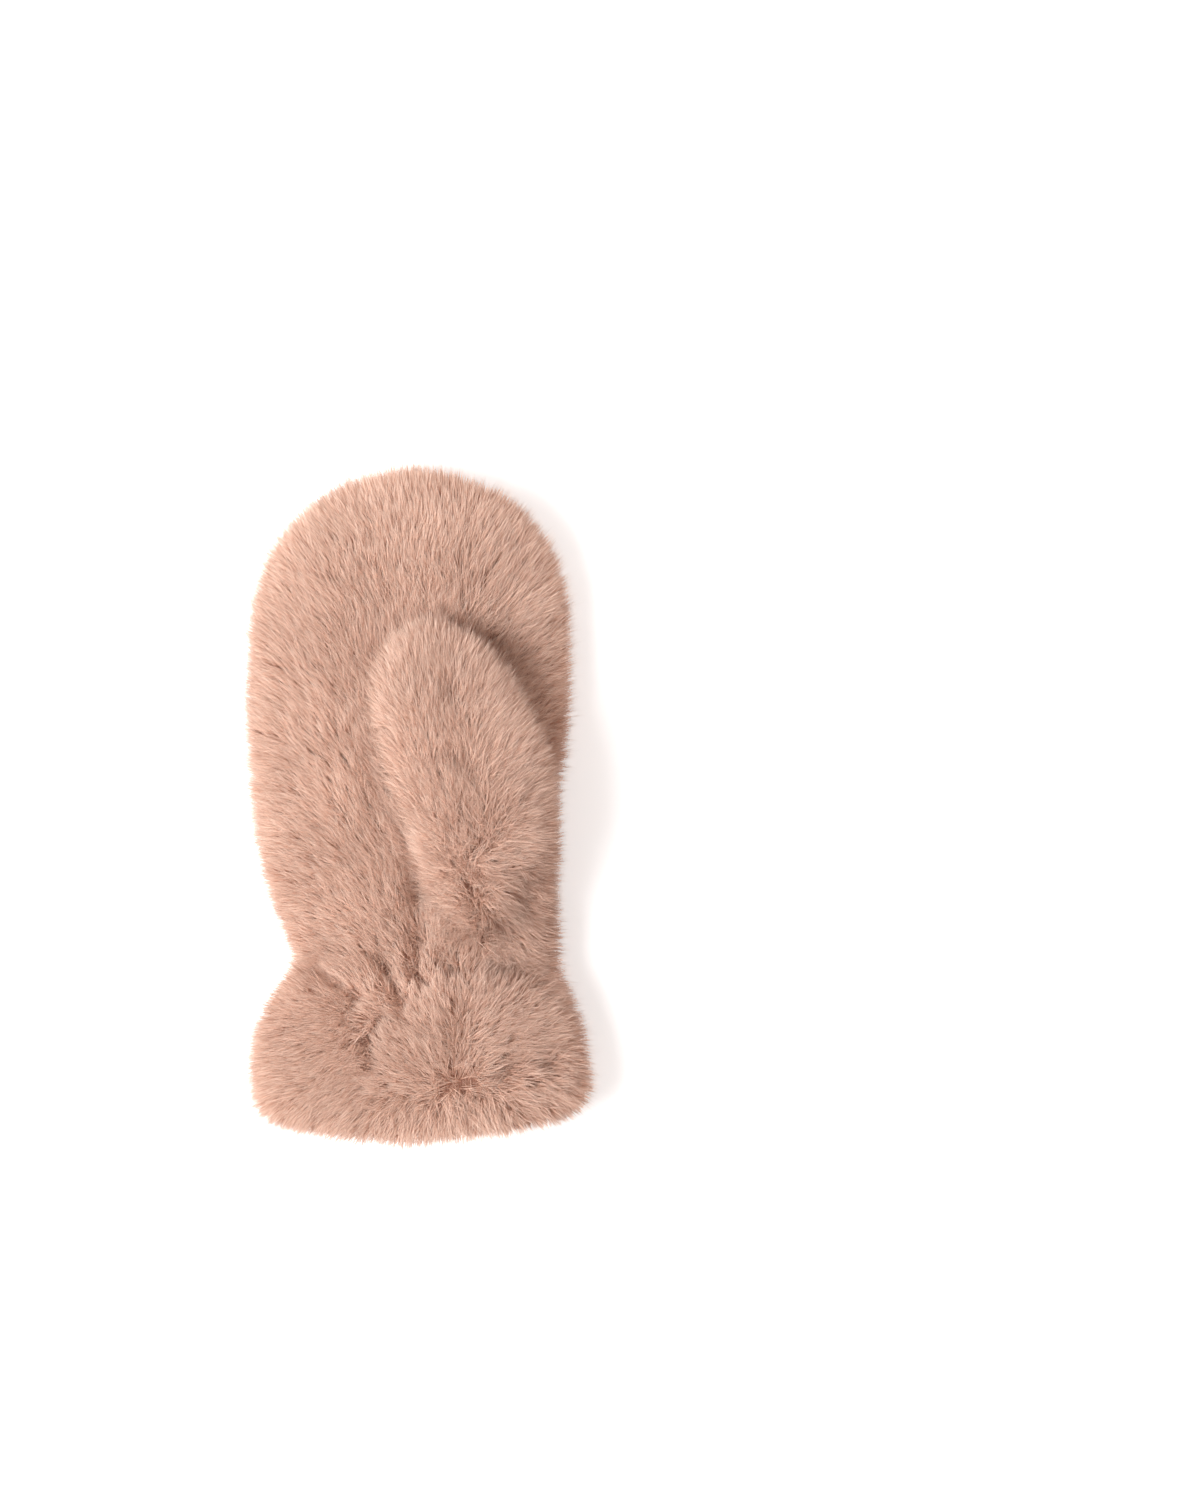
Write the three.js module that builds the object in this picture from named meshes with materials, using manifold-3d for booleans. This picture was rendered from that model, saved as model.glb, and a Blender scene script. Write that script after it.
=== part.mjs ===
// A fur mitten for a right hand. It lies with its back down and its palm up, the thumb folded over the palm.
// Lengths are in millimetres. X runs towards the thumb's side, Y towards the finger tips and Z up.
// The wrist is at Y = 0 until the last lines, which set the origin under the middle of the mitten.
import * as THREE from "three";
import { mergeVertices } from "three/addons/utils/BufferGeometryUtils.js";
import Module from "manifold-3d";

// Outer sizes, fur included
const HAND_LENGTH = 188;
const HAND_WIDTH = 126;
const HAND_THICKNESS = 52;
const WRIST_WIDTH = 106;
const WRIST_THICKNESS = 41;
const CUFF_LENGTH = 72;
const CUFF_WIDTH = 132;
const CUFF_THICKNESS = 61;
const HEM_BOW = 10;
const THUMB_LENGTH = 116;
const THUMB_WIDTH = 62;
const THUMB_THICKNESS = 38;

// Walls: sewn backing and pile together
const HAND_WALL = 10;
const THUMB_WALL = 10;
const CUFF_WALL = 17;

// How the mitten lies: the floor flattens its underside, and the thumb sinks into the palm's pile. The
// thumb's root lies this far in from the hand's side and this far above the wrist.
const FLOOR_PRESS = 6;
const THUMB_SINK = 8;
const THUMB_ROOT_INSET = 33;
const THUMB_ROOT_RISE = 14;

// The pile stands in tufts
const TUFT_LENGTH = 12;
const TUFT_WIDTH = 11;
const TUFT_DEPTH = 4.6;

// The side seam's height above the floor, and the gap between sewn pieces
const SEAM_HEIGHT = 16;
const SEAM_GAP = 0.4;

// Shape of the sections
const OVALNESS = 2.5;
const FINGER_END = 0.62;
const FINGER_ROUND = 2.6;
const FINGER_BLUNT = 5;
const THUMB_END = 0.7;
const THUMB_ROUND = 2.4;
const TIP_PLACE = 0.7;
const HEM_SKEW = 0.09;

// The hollows have this many rings, and the hand's runs on past the wrist by this share of its length
const HOLLOW_RINGS = 14;
const HOLLOW_RUN = 0.04;

// Hand sections. along: share of HAND_LENGTH from the wrist. size and bulk: 0 where the width and the
// thickness are the wrist's, 1 where they are the hand's. shift: share of HAND_WIDTH towards the thumb.
// press: share of FLOOR_PRESS that the free underside would reach below the floor.
const HAND_SECTIONS = [
  { along: 0.0, size: 0.0, bulk: 0.0, shift: 0.026, press: -0.5 },
  { along: 0.06, size: 0.2, bulk: 0.35, shift: 0.012, press: 0.1 },
  { along: 0.12, size: 0.4, bulk: 0.6, shift: -0.008, press: 0.6 },
  { along: 0.25, size: 0.72, bulk: 0.9, shift: -0.028, press: 1.0 },
  { along: 0.45, size: 1.0, bulk: 1.0, shift: -0.03, press: 1.0 },
  { along: 0.7, size: 1.0, bulk: 0.95, shift: -0.025, press: 1.0 },
  { along: 1.0, size: 1.0, bulk: 0.85, shift: -0.01, press: 0.8 },
];

// Cuff sections. along: share of CUFF_LENGTH from the wrist to the hem. The other columns are as above.
const CUFF_SECTIONS = [
  { along: 0.0, size: 0.0, bulk: 0.0, shift: 0.025, press: -0.5 },
  { along: 0.16, size: 0.38, bulk: 0.38, shift: 0.013, press: 0.0 },
  { along: 0.38, size: 0.83, bulk: 0.8, shift: 0.0, press: 0.7 },
  { along: 0.6, size: 1.0, bulk: 1.0, shift: 0.007, press: 0.9 },
  { along: 0.8, size: 0.99, bulk: 1.0, shift: 0.012, press: 0.8 },
  { along: 1.0, size: 0.95, bulk: 0.97, shift: 0.015, press: 0.6 },
];

// Thumb sections. x and y: shares of THUMB_LENGTH from the root. lift: 0 inside the hand, 1 on the palm.
// wide and thick: shares of THUMB_WIDTH and THUMB_THICKNESS.
const THUMB_SECTIONS = [
  { x: 0.0, y: 0.0, lift: 0.0, wide: 0.72, thick: 0.84 },
  { x: 0.0, y: 0.2, lift: 0.66, wide: 0.92, thick: 0.96 },
  { x: -0.03, y: 0.4, lift: 0.93, wide: 1.0, thick: 1.0 },
  { x: -0.12, y: 0.62, lift: 1.0, wide: 0.95, thick: 1.0 },
  { x: -0.19, y: 0.81, lift: 0.97, wide: 0.88, thick: 0.98 },
  { x: -0.21, y: 1.0, lift: 0.8, wide: 0.84, thick: 0.95 },
];

// Folds and dents, each along a line in plan. side: 1 on the palm, -1 on the back. x: share of HAND_WIDTH.
// y: share of HAND_LENGTH above the wrist, or of CUFF_LENGTH below it. depth: share of HAND_WALL.
// reach: share of HAND_WIDTH to either side of the line.
const FOLDS = [
  { side: 1, fromX: 0.03, fromY: 0.17, toX: 0.005, toY: 0.03, depth: 0.32, reach: 0.04 },
  { side: 1, fromX: -0.11, fromY: 0.02, toX: -0.04, toY: -0.28, depth: 0.36, reach: 0.035 },
  { side: 1, fromX: -0.01, fromY: 0.02, toX: 0.025, toY: -0.16, depth: 0.36, reach: 0.035 },
  { side: 1, fromX: 0.07, fromY: 0.02, toX: 0.13, toY: -0.1, depth: 0.36, reach: 0.035 },
  { side: 1, fromX: -0.29, fromY: -0.05, toX: -0.18, toY: -0.26, depth: 0.36, reach: 0.045 },
  { side: 1, fromX: -0.1, fromY: -0.33, toX: -0.17, toY: -0.48, depth: 0.3, reach: 0.04 },
  { side: 1, fromX: 0.18, fromY: -0.66, toX: 0.26, toY: -0.53, depth: 0.3, reach: 0.04 },
  { side: 1, fromX: 0.26, fromY: -0.53, toX: 0.4, toY: -0.52, depth: 0.25, reach: 0.04 },
  { side: 1, fromX: 0.3, fromY: -0.04, toX: 0.46, toY: -0.14, depth: 0.3, reach: 0.05 },
  { side: 1, fromX: 0.08, fromY: 0.12, toX: 0.2, toY: 0.07, depth: 0.3, reach: 0.04 },
  { side: -1, fromX: 0.02, fromY: -0.15, toX: 0.03, toY: 0.5, depth: 0.36, reach: 0.05 },
  { side: -1, fromX: 0.07, fromY: -0.1, toX: 0.19, toY: 0.14, depth: 0.36, reach: 0.045 },
  { side: -1, fromX: -0.23, fromY: 0.02, toX: -0.36, toY: 0.23, depth: 0.36, reach: 0.045 },
  { side: -1, fromX: 0.12, fromY: -0.53, toX: 0.14, toY: -0.2, depth: 0.3, reach: 0.045 },
  { side: -1, fromX: -0.26, fromY: -0.35, toX: -0.2, toY: -0.1, depth: 0.3, reach: 0.05 },
];

const wasm = await Module();
wasm.setup();

const mix = (a, b, share) => a + (b - a) * share;

const middleOf = (ring) => ring.reduce((sum, p) => sum.add(p), new THREE.Vector3()).divideScalar(ring.length);

// A repeatable number from 0 to 1 for a place in the pile.
function scatter(row, column) {
  const wave = Math.sin(row * 12.9898 + column * 78.233) * 43758.5453;
  return wave - Math.floor(wave);
}

// A column of a table of sections, read smoothly between its rows.
function columnAt(rows, key, at, column) {
  const last = rows.length - 2;
  let row = rows.findIndex((r, i) => i <= last && at <= rows[i + 1][key]);
  row = row < 0 ? last : row;
  const slope = (i) => {
    const before = rows[Math.max(i - 1, 0)];
    const after = rows[Math.min(i + 1, rows.length - 1)];
    return (after[column] - before[column]) / (after[key] - before[key]);
  };
  const [a, b] = [rows[row], rows[row + 1]];
  const span = b[key] - a[key];
  const t = (at - a[key]) / span;
  const rise = b[column] - a[column];
  const bend = t * (1 - t) * ((1 - t) * (slope(row) * span - rise) - t * (slope(row + 1) * span - rise));
  return a[column] + rise * t + bend;
}

// How far a rounded end has closed: 1 until start, then down to a point at 1.
function closing(along, start, power) {
  const past = Math.max(0, (along - start) / (1 - start));
  return Math.sqrt(Math.max(1e-6, 1 - Math.pow(past, power)));
}

// Points evenly spaced round a flattened oval, from its +X end by its +Y side.
function oval(halfWidth, halfHeight, count) {
  const fine = 360;
  const power = 2 / OVALNESS;
  const bent = (value) => Math.sign(value) * Math.pow(Math.abs(value), power);
  const outline = [];
  for (let i = 0; i <= fine; i++) {
    const angle = (i / fine) * 2 * Math.PI;
    outline.push(new THREE.Vector2(halfWidth * bent(Math.cos(angle)), halfHeight * bent(Math.sin(angle))));
  }
  const reached = [0];
  outline.slice(1).forEach((point, i) => reached.push(reached[i] + point.distanceTo(outline[i])));
  const points = [];
  let step = 0;
  for (let i = 0; i < count; i++) {
    const wanted = (i / count) * reached[fine];
    while (reached[step + 1] < wanted) step++;
    const share = (wanted - reached[step]) / (reached[step + 1] - reached[step]);
    points.push(outline[step].clone().lerp(outline[step + 1], share));
  }
  return points;
}

// The hand's section at a share of its length, inset for the hollow inside.
function handSection(along, inset) {
  const read = (column) => columnAt(HAND_SECTIONS, "along", along, column);
  const width = mix(WRIST_WIDTH, HAND_WIDTH, read("size"));
  const thickness = mix(WRIST_THICKNESS, HAND_THICKNESS, read("bulk"));
  return {
    x: read("shift") * HAND_WIDTH,
    z: thickness / 2 - read("press") * FLOOR_PRESS,
    halfWidth: (width / 2 - inset) * closing(along, FINGER_END, FINGER_ROUND),
    halfHeight: (thickness / 2 - inset) * closing(along, FINGER_END, FINGER_BLUNT),
  };
}

// The hand's ring at a share of its length. Below 0 it keeps the wrist's shape.
function handRing(along, inset, count) {
  const { x, z, halfWidth, halfHeight } = handSection(Math.max(along, 0), inset);
  const y = along * (HAND_LENGTH - inset);
  return oval(halfWidth, halfHeight, count).map((p) => new THREE.Vector3(x + p.x, y, z + p.y));
}

// The share of pile that stands at a point of the thumb: none where the hand covers it.
function pileOutsideHand(point) {
  const { x, z, halfWidth, halfHeight } = handSection(THREE.MathUtils.clamp(point.y / HAND_LENGTH, 0, 1), 0);
  const across = Math.abs((point.x - x) / halfWidth);
  const upward = Math.abs((point.z - z) / halfHeight);
  const reach = Math.pow(across ** OVALNESS + upward ** OVALNESS, 1 / OVALNESS);
  return THREE.MathUtils.smoothstep(reach, 0.85, 1.02);
}

const LIP_RADIUS = CUFF_WALL / 2;
const CUFF_STRAIGHT = CUFF_LENGTH - LIP_RADIUS;
const LIP_ARC = Math.PI * LIP_RADIUS;

// The cuff's ring at a distance along its profile: down the outside, round the lip and up the inside.
function cuffRing(distance, count) {
  const turn = THREE.MathUtils.clamp((distance - CUFF_STRAIGHT) / LIP_RADIUS, 0, Math.PI);
  const inside = Math.max(0, distance - CUFF_STRAIGHT - LIP_ARC);
  const down = Math.min(distance, CUFF_STRAIGHT) - inside;
  const along = (down + LIP_RADIUS * Math.sin(turn)) / CUFF_LENGTH;
  const read = (column) => columnAt(CUFF_SECTIONS, "along", along, column);
  const wall = mix(HAND_WALL, CUFF_WALL, down / CUFF_STRAIGHT);
  const inset = (wall * (1 - Math.cos(turn))) / 2;
  const halfWidth = mix(WRIST_WIDTH, CUFF_WIDTH, read("size")) / 2 - inset;
  const thickness = mix(WRIST_THICKNESS, CUFF_THICKNESS, read("bulk"));
  const bow = HEM_BOW * along ** 2;
  return oval(halfWidth, thickness / 2 - inset, count).map(
    (p) =>
      new THREE.Vector3(
        read("shift") * CUFF_WIDTH + p.x,
        bow * (p.x / halfWidth + HEM_SKEW) ** 2 - along * CUFF_LENGTH - SEAM_GAP,
        thickness / 2 - read("press") * FLOOR_PRESS + p.y,
      ),
  );
}

const HAND_TOP = HAND_THICKNESS - FLOOR_PRESS;
const thumbAxis = new THREE.CatmullRomCurve3(
  THUMB_SECTIONS.map(({ x, y, lift }) => {
    const inside = HAND_TOP / 2;
    const onPalm = HAND_TOP - THUMB_SINK + THUMB_THICKNESS / 2;
    return new THREE.Vector3(
      HAND_WIDTH / 2 - THUMB_ROOT_INSET + x * THUMB_LENGTH,
      THUMB_ROOT_RISE + y * THUMB_LENGTH,
      mix(inside, onPalm, lift),
    );
  }),
  false,
  "centripetal",
);

// The thumb's ring at a share of its length, square to its axis. A negative inset makes it larger.
function thumbRing(along, inset, count) {
  const centre = thumbAxis.getPointAt(along);
  const forward = thumbAxis.getTangentAt(along);
  const across = new THREE.Vector3(forward.y, -forward.x, 0).normalize();
  const upward = new THREE.Vector3().crossVectors(across, forward);
  const read = (column) => columnAt(THUMB_SECTIONS, "y", (centre.y - THUMB_ROOT_RISE) / THUMB_LENGTH, column);
  const closed = closing(along, THUMB_END, THUMB_ROUND);
  const halfWidth = ((read("wide") * THUMB_WIDTH) / 2 - inset) * closed;
  const halfHeight = ((read("thick") * THUMB_THICKNESS) / 2 - inset) * closed;
  return oval(halfWidth, halfHeight, count).map((p) =>
    centre
      .clone()
      .addScaledVector(forward, -inset * along)
      .addScaledVector(across, p.x)
      .addScaledVector(upward, p.y),
  );
}

// How deep the folds and dents are at a point whose surface faces along normal.
function foldDepth(point, normal) {
  const place = new THREE.Vector2(point.x, point.y);
  const planY = (share) => share * (share > 0 ? HAND_LENGTH : CUFF_LENGTH);
  let depth = 0;
  for (const fold of FOLDS) {
    const facing = THREE.MathUtils.smoothstep(fold.side * normal.z, 0.1, 0.6);
    const from = new THREE.Vector2(fold.fromX * HAND_WIDTH, planY(fold.fromY));
    const line = new THREE.Vector2(fold.toX * HAND_WIDTH, planY(fold.toY)).sub(from);
    const share = THREE.MathUtils.clamp(place.clone().sub(from).dot(line) / line.lengthSq(), 0, 1);
    const away = place.distanceTo(from.addScaledVector(line, share)) / (fold.reach * HAND_WIDTH);
    depth = Math.max(depth, facing * fold.depth * HAND_WALL * Math.exp(-(away ** 2)));
  }
  return depth;
}

// A profile's length on the +X side up to each of its evenly spaced shares.
function pathOf(ringAt) {
  const fine = 200;
  const path = [0];
  for (let i = 1; i <= fine; i++) {
    path.push(path[i - 1] + ringAt(i / fine)[0].distanceTo(ringAt((i - 1) / fine)[0]));
  }
  return path;
}

// Where a tufted profile has its rings: each row of tufts has one at its roots and one near its tips.
function ringPlaces(ringAt) {
  const path = pathOf(ringAt);
  const length = path[path.length - 1];
  const rows = Math.round(length / TUFT_LENGTH);
  const placeOf = (row) => {
    const reached = (row / rows) * length;
    const step = path.findIndex((next) => next > reached) - 1;
    const share = (reached - path[step]) / (path[step + 1] - path[step]);
    return (step + share) / (path.length - 1);
  };
  return Array.from({ length: rows }, (_, row) => [placeOf(row), placeOf(row + TIP_PLACE)]).flat();
}

// The rings of a profile, sunk between its tufts and in the folds. The tips of one row of tufts stand
// between those of the next. pileAt gives the share of the pile that stands at a point.
function tuftedRings(ringAt, pileAt = () => 1) {
  const smooth = ringPlaces(ringAt).map(ringAt);
  return smooth.map((ring, j) => {
    const middle = middleOf(ring);
    const [before, after] = [smooth[Math.max(j - 1, 0)], smooth[Math.min(j + 1, smooth.length - 1)]];
    return ring.map((point, i) => {
      const round = ring[(i + 1) % ring.length].clone().sub(ring[(i + ring.length - 1) % ring.length]);
      const onward = after[i].clone().sub(before[i]);
      const normal = new THREE.Vector3().crossVectors(round, onward).normalize();
      if (normal.dot(point.clone().sub(middle)) < 0) normal.negate();
      const row = Math.floor(j / 2);
      const isTip = j % 2 === 1 && (i + row) % 2 === 0;
      const chance = scatter(row, i);
      const sunk = TUFT_DEPTH * (isTip ? 0.25 * chance : mix(0.7, 1, chance));
      return point.clone().addScaledVector(normal, -(sunk + foldDepth(point, normal)) * pileAt(point));
    });
  });
}

const onFloor = (point) => new THREE.Vector3(point.x, point.y, Math.max(0, point.z));

// A closed geometry over rings of equal count. With ends, it starts and ends in those two points, and
// otherwise its last ring joins its first.
function skin(rings, ends = null) {
  const count = rings[0].length;
  const points = rings.flat();
  const faces = [];
  const at = (ring, i) => (ring % rings.length) * count + (i % count);
  const bands = ends ? rings.length - 1 : rings.length;
  for (let ring = 0; ring < bands; ring++) {
    for (let i = 0; i < count; i++) {
      faces.push(at(ring, i), at(ring, i + 1), at(ring + 1, i + 1));
      faces.push(at(ring, i), at(ring + 1, i + 1), at(ring + 1, i));
    }
  }
  if (ends) {
    const [first, last] = [points.length, points.length + 1];
    points.push(...ends);
    for (let i = 0; i < count; i++) {
      faces.push(first, at(0, i + 1), at(0, i));
      faces.push(last, at(rings.length - 1, i), at(rings.length - 1, i + 1));
    }
  }
  const geometry = new THREE.BufferGeometry().setFromPoints(points);
  geometry.setIndex(faces);
  return geometry;
}

function solidOf(geometry) {
  geometry.deleteAttribute("normal");
  geometry.deleteAttribute("uv");
  const merged = mergeVertices(geometry);
  return new wasm.Manifold(
    new wasm.Mesh({
      numProp: 3,
      vertProperties: merged.attributes.position.array,
      triVerts: new Uint32Array(merged.index.array),
    }),
  );
}

function geometryOf(solid) {
  const mesh = solid.getMesh();
  const geometry = new THREE.BufferGeometry();
  geometry.setAttribute("position", new THREE.BufferAttribute(mesh.vertProperties, 3));
  geometry.setIndex(new THREE.BufferAttribute(mesh.triVerts, 1));
  geometry.computeVertexNormals();
  return geometry;
}

// Everything between two heights, as a solid that cuts the hand along its side seam.
function slab(low, high) {
  const reach = 4 * HAND_LENGTH;
  const box = new THREE.BoxGeometry(reach, reach, high - low);
  return solidOf(box.translate(0, 0, (low + high) / 2));
}

// The largest body of a cut, without slivers of pile.
function mainBody(solid) {
  return solid.decompose().reduce((most, body) => (body.volume() > most.volume() ? body : most));
}

// An even number of points round a section, two to a tuft.
const columnsRound = (ring) => {
  const girth = ring.reduce((sum, p, i) => sum + p.distanceTo(ring[(i + 1) % ring.length]), 0);
  return 4 * Math.round(girth / TUFT_WIDTH / 2);
};

const shares = (count) => Array.from({ length: count }, (_, i) => i / count);

// A solid through smooth rings at these shares of a profile: what a hollow or a clearance takes away.
function cutter(ringAt, places) {
  const rings = places.map((share) => ringAt(share)).reverse();
  return solidOf(skin(rings, [middleOf(ringAt(1)), middleOf(ringAt(places[0]))]));
}

// The hand and thumb as full forms and as hollows
const HAND_COLUMNS = columnsRound(handRing(0.5, 0, 120));
const THUMB_COLUMNS = columnsRound(thumbRing(0.5, 0, 120));
const handOutside = (along) => handRing(along, 0, HAND_COLUMNS);
const thumbOutside = (along) => thumbRing(along, 0, THUMB_COLUMNS);

function handForm() {
  const rings = tuftedRings(handOutside).reverse();
  const ends = [middleOf(handOutside(1)), middleOf(handOutside(0))];
  return solidOf(skin(rings.map((ring) => ring.map(onFloor)), ends));
}

function thumbForm() {
  const rings = tuftedRings(thumbOutside, pileOutsideHand).reverse();
  return solidOf(skin(rings, [thumbAxis.getPointAt(1), thumbAxis.getPointAt(0)]));
}

function cuffForm() {
  const furred = CUFF_STRAIGHT + 0.6 * LIP_ARC;
  const whole = 2 * CUFF_STRAIGHT + LIP_ARC;
  const outside = tuftedRings((share) => cuffRing(share * furred, HAND_COLUMNS));
  const inside = shares(HOLLOW_RINGS / 2).map((share) => cuffRing(mix(furred, whole, share), HAND_COLUMNS));
  const rings = [...outside, ...inside, cuffRing(whole, HAND_COLUMNS)];
  return solidOf(skin(rings.map((ring) => ring.map(onFloor))));
}

const handInside = (along) => handRing(along, HAND_WALL, HAND_COLUMNS / 2);
const handHollow = cutter(handInside, [-HOLLOW_RUN, ...shares(HOLLOW_RINGS)]);
const thumbHollow = cutter((along) => thumbRing(along, THUMB_WALL, THUMB_COLUMNS / 2), shares(HOLLOW_RINGS));
const thumbClear = cutter((along) => thumbRing(along, -SEAM_GAP, THUMB_COLUMNS), ringPlaces(thumbOutside));

const handShell = handForm().subtract(handHollow);
const tall = HAND_THICKNESS + THUMB_THICKNESS + CUFF_THICKNESS;
const aboveSeam = slab(SEAM_HEIGHT + SEAM_GAP / 2, tall);
const belowSeam = slab(-tall, SEAM_HEIGHT - SEAM_GAP / 2);
const palm = mainBody(handShell.intersect(aboveSeam).subtract(thumbClear));
const back = mainBody(handShell.intersect(belowSeam));
const thumb = mainBody(thumbForm().subtract(thumbHollow).subtract(handHollow).intersect(aboveSeam));

const fur = () => new THREE.MeshStandardMaterial({ color: 0xcda391, roughness: 0.9, metalness: 0 });

function piece(name, solid) {
  const mesh = new THREE.Mesh(geometryOf(solid), fur());
  mesh.name = name;
  return mesh;
}

const mitten = new THREE.Group();
mitten.add(
  piece("palm_panel", palm),
  piece("back_panel", back),
  piece("thumb_stall", thumb),
  piece("cuff", cuffForm()),
);

// The origin is on the floor, under the middle of the mitten.
const box = new THREE.Box3().setFromObject(mitten);
mitten.position.set(-(box.min.x + box.max.x) / 2, -(box.min.y + box.max.y) / 2, -box.min.z);

export default mitten;
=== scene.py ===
"""The looks of a fur mitten that lies with its palm up: a cloth backing and its long pile."""

import math

import bpy
import numpy as np
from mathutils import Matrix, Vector
from mathutils.bvhtree import BVHTree


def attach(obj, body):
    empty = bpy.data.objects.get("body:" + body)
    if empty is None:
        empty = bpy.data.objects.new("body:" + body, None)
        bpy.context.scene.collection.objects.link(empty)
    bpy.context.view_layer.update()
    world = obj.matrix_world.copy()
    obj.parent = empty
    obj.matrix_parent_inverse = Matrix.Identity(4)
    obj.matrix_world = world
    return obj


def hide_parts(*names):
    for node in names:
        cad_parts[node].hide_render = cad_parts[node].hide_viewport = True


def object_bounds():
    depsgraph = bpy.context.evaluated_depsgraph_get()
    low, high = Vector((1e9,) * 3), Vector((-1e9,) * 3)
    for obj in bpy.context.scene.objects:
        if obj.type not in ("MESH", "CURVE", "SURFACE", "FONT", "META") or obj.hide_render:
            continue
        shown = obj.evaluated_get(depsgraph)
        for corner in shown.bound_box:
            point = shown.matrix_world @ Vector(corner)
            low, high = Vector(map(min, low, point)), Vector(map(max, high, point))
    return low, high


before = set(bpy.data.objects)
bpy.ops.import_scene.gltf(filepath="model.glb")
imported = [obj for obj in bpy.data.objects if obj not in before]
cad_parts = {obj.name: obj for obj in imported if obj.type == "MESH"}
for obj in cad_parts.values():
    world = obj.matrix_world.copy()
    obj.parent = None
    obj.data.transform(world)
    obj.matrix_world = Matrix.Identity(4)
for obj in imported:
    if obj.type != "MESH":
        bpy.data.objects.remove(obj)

CAD_LOW, CAD_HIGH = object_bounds()
MIDDLE = (np.array(CAD_LOW) + np.array(CAD_HIGH)) / 2
HALF = (np.array(CAD_HIGH) - np.array(CAD_LOW)) / 2
CHANCE = np.random.default_rng(11)

# The pieces of the mitten: the name of each CAD node, its material slot and how many strands of pile it has
PIECES = {
    "palm_panel": {"slot": "palm_fur", "strands": 98000},
    "back_panel": {"slot": "back_fur", "strands": 84000},
    "thumb_stall": {"slot": "thumb_fur", "strands": 90000},
    "cuff": {"slot": "cuff_fur", "strands": 98000},
}

# The backing, in metres. This grid and this much smoothing take the solids' tufts away, and the outer face
# then lies this deep under their tips. Where the wall is thinner than a full one, its inner face moves into
# the hollow, up to a most, and a wall that is sunk keeps the least thickness.
SKIN_GRID = 0.0022
SKIN_SMOOTHING = 30
PILE_DEPTH = 0.004
FULL_WALL = 0.011
MOST_FILL = 0.0065
LEAST_WALL = 0.0022

# A finer grid joins the thumb to the hand
JOINED_GRID = 0.0018
JOINED_SMOOTHING = 4

# How far from a face the rays start that measure the wall, look for the open air or for room for the pile,
# in metres, and how often a share is evened out between neighbouring points, so that no step shows
WALL_START = 0.0003
AIR_START = 0.0015
ROOM_START = 0.001
EVENING_ROUNDS = 3

# The room that the pile needs above its root, in metres, and how high the cloth, the strands' bends and
# their tips stay above the floor
PILE_ROOM = 0.003
CLOTH_HEIGHT = 0.0006
BEND_HEIGHT = 0.0004
TIP_HEIGHT = 0.0003

# The pile hangs over the hem, so the cloth's end is this much higher than the solid's, in metres, and the
# cloth rises below this share of half the length.
HEM_RISE = 0.0024
HEM_SHARE = -0.8

# The cloth's side under the thumb lies this much further in, in metres. Across the mitten the tuck begins
# at a share of half the width and is full from there on after a second share. Along it the tuck is deepest
# at a share of half the length and fades over a reach.
SIDE_TUCK = 0.0042
TUCK_FROM = 0.3
TUCK_WIDTH = 0.5
TUCK_SHARE = -0.1
TUCK_REACH = 0.3

# The thumb stands free on the hand's top, in metres, above this y. Below it the thumb grows out of the
# hand, which rises this much for each metre.
HAND_TOP = 0.042
THUMB_FREE_FROM = -0.01
THUMB_RISE = 1.2

# The pile's strands, in metres. They stand in wisps, each strand within a spread of the wisp's root, and
# lean over further at the tip.
STRAND_LENGTH = 0.0118
STRAND_WIDTH = 0.00023
WISP_STRANDS = 8
WISP_SPREAD = 0.0013
ROOT_LEAN = math.radians(42)
TIP_LEAN = math.radians(76)

# Wisps are spread over the cloth out of this many tries for each, with a least gap between them as a share
# of the mean one
TRIES = 5
LEAST_GAP = 0.76

# How the pile swirls, ripples, leans and changes its tone in waves over the cloth: how much, and the waves'
# length in metres
SWIRL = math.radians(12)
SWIRL_WAVE = 0.016
RIPPLE = math.radians(8)
RIPPLE_WAVE = SWIRL_WAVE / 3
LEAN_CHANGE = math.radians(7)
LEAN_WAVE = 0.009
TONE_CHANGE = 0.07
TONE_WAVE = 0.03

# The waves: how many are added up, how much their length varies and the range of their phases
WAVE_COUNT = 8
WAVE_LENGTHS = (0.7, 1.5)
WAVE_PHASES = 6.3

# How far a wisp differs by chance from its neighbours: in direction, in lean, in length and in tone
WISP_TURN = math.radians(8)
WISP_LEAN = math.radians(4)
WISP_LENGTH = 0.1
WISP_TONE = 0.05

# A whorl, where the pile's directions meet: how soon it begins, how far it turns the pile and how far it
# tousles its wisps
WHORL_GAIN = 1.4
WHORL_TURN = math.radians(35)
TOUSLE = math.radians(60)

# How far a strand differs by chance from its wisp: its direction, its lean, its length and width as shares
# of the usual ones, how it is rolled about itself and its tone
STRAND_TURN = math.radians(6)
STRAND_LEAN = math.radians(6)
STRAND_LENGTHS = (0.75, 1.12)
STRAND_WIDTHS = (0.7, 1.3)
STRAND_ROLL = math.radians(26)
STRAND_TONE = 0.19

# A share of the strands strays from its wisp. They stand up by up to an angle, are longer and thinner.
STRAY_SHARE = 0.28
STRAY_LIFT = math.radians(55)
STRAY_LENGTH = 0.25
STRAY_THINNESS = 0.4

# Strands that the combing points out of the cloth are shorter by a share between these
FACING_CUT = (0.1, 0.75)

# A strand bends at this share of its length. A wisp is drawn together to these shares of its spread at the
# bend and at the tip.
BEND = 0.45
BEND_SPREAD = 0.85
TIP_SPREAD = 0.6

# The map of a strand: the range of tones in u, how wide it lies there, and how far along v its four points
# are
TONES = (0.03, 0.97)
MAP_WIDTH = 0.002
MAP_ALONG = (0.02, 0.5, 0.5, 0.98)

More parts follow.
